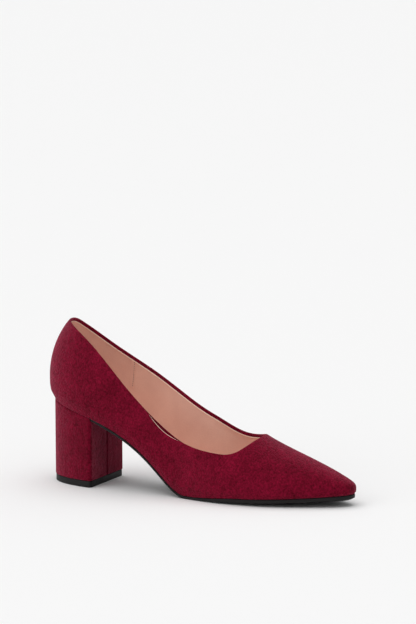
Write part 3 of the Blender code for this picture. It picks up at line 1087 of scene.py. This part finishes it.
class PUMP_OT_lining(bpy.types.Operator):
    """Makes the leather lining, its turned edge and its stitched seam"""

    bl_idname = "pump.lining"
    bl_label = "Lining"

    def execute(self, context):
        sizes, finish, _ = settings()
        shell = shared_skin()
        drop = WALL / 2 + sizes.band_depth - BAND_OVERLAP
        face = shell.lowered(drop) - shell.normals * WALL
        mesh = row_mesh("lining", face, True, 75)
        mesh.flip_normals()
        material = leather_material("lining_leather", finish, finish.lining_colour,
                                    finish.lining_worn)
        show(mesh, material, "sock")
        middle = face[-1][shell.loop] - shell.edge_out * BEAD_INSET
        bends = np.linspace(0, 2 * math.pi, BEAD_STEPS + 1)
        bead = arc(middle, sizes.bead_radius, shell.edge_out, shell.edge_up, bends)
        # The turned edge is lighter than the lining: a painted highlight.
        show(row_mesh("lining_edge", bead, True, 80), edge_leather(finish), "sock")
        for side in SIDES:
            self.seam(shell, face[TUCK_ROWS + 1:], side, material, sizes, finish)
        return {"FINISHED"}

    def seam(self, shell, rows, side, material, sizes, finish):
        """Lapped seam down the lining's wall, with a row of stitches beside it."""
        upright = shell.across(rows, side, np.full(len(rows), sizes.seam_place))
        lean = sizes.seam_place + sizes.seam_lean * (upright[:, 2] - upright[-1, 2])
        lap = sizes.lap_width
        lines = []
        for offset, height in ((-lap, -LAP_EDGE), (-lap, LAP_EDGE), (-lap + LAP_EDGE, LAP_HEIGHT),
                               (-lap / 2, LAP_HEIGHT), (LAP_AHEAD - LAP_EDGE, LAP_HEIGHT),
                               (LAP_AHEAD, LAP_EDGE), (LAP_AHEAD, -LAP_EDGE)):
            point, inward = shell.wall(rows, side, lean + offset)
            lines.append(point + inward * height)
        show(row_mesh("lining_lap_" + SIDE_NAMES[side], lines, False, 60), material, "sock")
        self.stitches(shell, rows, side, lean, sizes, finish)

    def stitches(self, shell, rows, side, lean, sizes, finish):
        path, inward = shell.wall(rows, side, lean)
        run = run_along(path)

        def at(mark, values):
            return np.array([np.interp(mark, run, values[:, k]) for k in range(3)])

        pitch = sizes.stitch_pitch
        bends = np.linspace(0, 2 * math.pi, BEAD_STEPS + 1)[:-1]
        vertices, faces = [], []
        for mark in np.arange(pitch, run[-1] - pitch / 2, pitch):
            start, end = [at(mark + way * STITCH_SHARE * pitch, path) for way in (-1, 1)]
            out = at(mark, inward)
            across = np.cross(unit(end - start), out)
            first = len(vertices)
            for share, width in STITCH_PROFILE:
                centre = start + (end - start) * share
                lift = STITCH_RISE + sizes.thread_radius * (0.9 * width - 0.5)
                vertices += arc(centre + out * lift, sizes.thread_radius * width, across, out,
                                bends)
            count = len(STITCH_PROFILE)
            faces += strip_faces(count, BEAD_STEPS, True, first)
            faces.append(tuple(range(first, first + BEAD_STEPS))[::-1])
            faces.append(tuple(range(first + (count - 1) * BEAD_STEPS,
                                     first + count * BEAD_STEPS)))
        mesh = make_mesh("lining_stitches_" + SIDE_NAMES[side], vertices, faces, 60)
        thread = leather_material("lining_thread", finish, finish.thread_colour,
                                  finish.thread_colour)
        show(mesh, thread, "sock")


def plan_ring(columns, inset, share, height):
    """Ring in plan at a share of the way out from the spine, at the height of its x."""
    turns = math.pi * np.linspace(0, 1, columns + 1)
    sides = []
    for side in SIDES:
        root_x, root_y, along_x, along_y, reach = spoke(side, turns)
        arm = (reach - inset(station_x(turns))) * share
        x = root_x + along_x * arm
        sides.append(np.stack([x, root_y + along_y * arm, height(x)], axis=-1))
    return around(*sides)


class PUMP_OT_sock(bpy.types.Operator):
    """Makes the sock on the insole board"""

    bl_idname = "pump.sock"
    bl_label = "Sock"

    def execute(self, context):
        _, finish, _ = settings()
        clear = WALL + GAP

        def underside(x):
            return feather_z(x) + clear * lean(x)

        def face(share):
            edge = SOCK_EDGE * smooth_step((share - SOCK_EDGE_START) / (1 - SOCK_EDGE_START))
            return lambda x: underside(x) + (INSOLE_THICKNESS - edge) * lean(x)

        rings = [plan_ring(SOCK_COLUMNS, lambda x: clear, share, height)
                 for share, height in ((1, underside), *((s, face(s)) for s in SOCK_SHARES))]
        material = leather_material("sock_leather", finish, finish.lining_colour,
                                    finish.lining_worn)
        show(row_mesh("sock", rings, True, 40), material, "sock", "insole")
        return {"FINISHED"}


class PUMP_OT_outsole(bpy.types.Operator):
    """Makes the black sole with its trimmed edge"""

    bl_idname = "pump.outsole"
    bl_label = "Outsole"

    def execute(self, context):
        sizes, finish, _ = settings()
        radius = sizes.sole_edge_radius
        top_radius = SOLE_TOP_SHARE * radius

        def ring(more, share, height):
            def inset(x):
                ahead = x - HEEL_DEPTH - CUP_CLEAR
                return (CUP_LIP + GAP) * (1 - smooth_step(ahead / CUP_BLEND)) + more
            return plan_ring(SOLE_COLUMNS, inset, share, height)

        def underside(share, rise=0.0):
            lift = SOLE_CROWN * np.clip((share - FLAT_SHARE) / (1 - FLAT_SHARE), 0, 1) ** 2
            return lambda x: sole_bottom(x) + lift * forepart(x) + rise

        def topside(drop):
            return lambda x: sole_top(x) - drop

        rings = [ring(radius, share, underside(share)) for share in SOLE_SHARES]
        for bend in np.linspace(0, math.pi / 2, ROUND_STEPS + 1)[1:]:
            rings.append(ring(radius * (1 - math.sin(bend)), 1,
                              underside(1, radius * (1 - math.cos(bend)))))
        for bend in np.linspace(0, math.pi / 2, ROUND_STEPS):
            rings.append(ring(top_radius * (1 - math.cos(bend)), 1,
                              topside(top_radius * (1 - math.sin(bend)))))
        rings.append(ring(SOLE_MARGIN, 1, sole_top))
        mesh = row_mesh("outsole_rubber", rings, True, 60)
        show(mesh, rubber_material("rubber_sole", finish), "sole", "outsole")
        return {"FINISHED"}


class PUMP_OT_heel(bpy.types.Operator):
    """Makes the covered block heel with the seam down its breast"""

    bl_idname = "pump.heel"
    bl_label = "Heel"

    def execute(self, context):
        sizes, finish, _ = settings()
        outline = self.outline(0.0, sizes)
        base = LIFT_HEIGHT + GAP
        low = base + HEEL_FOOT
        top = self.top_height(outline)
        levels = [(inset, base + height) for inset, height in HEEL_BASE]
        levels += [(0.0, low + (top - HEEL_SHOULDER - low) * share)
                   for share in np.linspace(0, 1, HEEL_ROWS + 1)[1:-1]]
        levels += [(inset, top - drop) for inset, drop in HEEL_TOP]
        rows = [np.column_stack([self.outline(inset, sizes),
                                 np.broadcast_to(height, len(outline))])
                for inset, height in levels]
        mesh = row_mesh("heel_cover", rows, True, 70)
        show(mesh, suede_material("suede_heel", finish, 0.92), "heel_cover", "heel")
        return {"FINISHED"}

    def outline(self, inset, sizes):
        ring = seat_outline(inset, BREAST_COLUMNS)
        breast = HEEL_DEPTH - inset
        middle = ring[ring[:, 0] > breast - ON_BREAST, 1].mean()
        groove = -sizes.seam_depth * np.exp(-((ring[:, 1] - middle) / GROOVE_WIDTH) ** 2)
        ring[:, 0] += np.where(ring[:, 0] > breast - GROOVE_REACH, groove, 0.0)
        return ring

    def top_height(self, outline):
        x = outline[:, 0]
        side = np.clip((HEEL_DEPTH - x) / BREAST_BLEND, 0, 1)
        return (sole_bottom(x) - BREAST_CLEAR) * (1 - side) + feather_z(x) * side


class PUMP_OT_top_lift(bpy.types.Operator):
    """Makes the black top lift under the heel"""

    bl_idname = "pump.top_lift"
    bl_label = "Top lift"

    def execute(self, context):
        sizes, finish, _ = settings()
        radius = sizes.sole_edge_radius
        rows = []
        for inset, height in ((0.002, 0), (0.001, 0), (radius, 0), (0.3 * radius, 0.15 * radius),
                              (0, 0.6 * radius), (0, 0.3 * LIFT_HEIGHT), (0, 0.6 * LIFT_HEIGHT),
                              (0, LIFT_HEIGHT - 0.5 * radius),
                              (0.15 * radius, LIFT_HEIGHT - 0.15 * radius),
                              (0.5 * radius, LIFT_HEIGHT), (0.002, LIFT_HEIGHT)):
            ring = seat_outline(LIFT_INSET + inset, LIFT_BREAST_COLUMNS)
            rows.append(np.column_stack([ring, np.full(len(ring), height)]))
        mesh = row_mesh("top_lift_rubber", rows, True, 60, capped=True)
        show(mesh, rubber_material("rubber_lift", finish), "lift", "top_lift")
        return {"FINISHED"}


class PUMP_PT_panel(bpy.types.Panel):
    """Lists the pieces and their sizes"""

    bl_idname = "PUMP_PT_panel"
    bl_label = "Block heel pump"
    bl_space_type = "VIEW_3D"
    bl_region_type = "UI"
    bl_category = "Pump"

    def draw(self, context):
        for operator in operators:
            self.layout.operator(operator.bl_idname)
        for place, kind in groups:
            box = self.layout.box()
            for member in kind.__annotations__:
                box.prop(getattr(context.scene, place), member)


groups = (("pump_sizes", PumpSizes), ("pump_finish", PumpFinish), ("pump_stage", PumpStage))
operators = (PUMP_OT_stage, PUMP_OT_upper, PUMP_OT_facing, PUMP_OT_lining, PUMP_OT_sock,
             PUMP_OT_outsole, PUMP_OT_heel, PUMP_OT_top_lift)
classes = (PumpSizes, PumpFinish, PumpStage, *operators, PUMP_PT_panel)


def register():
    for each in classes:
        bpy.utils.register_class(each)
    for place, kind in groups:
        setattr(bpy.types.Scene, place, bpy.props.PointerProperty(type=kind))


def unregister():
    for place, _ in groups:
        delattr(bpy.types.Scene, place)
    for each in reversed(classes):
        bpy.utils.unregister_class(each)


def main():
    register()
    bpy.ops.pump.stage()
    bpy.ops.pump.upper()
    bpy.ops.pump.facing()
    bpy.ops.pump.lining()
    bpy.ops.pump.sock()
    bpy.ops.pump.outsole()
    bpy.ops.pump.heel()
    bpy.ops.pump.top_lift()


if __name__ == "__main__":
    main()
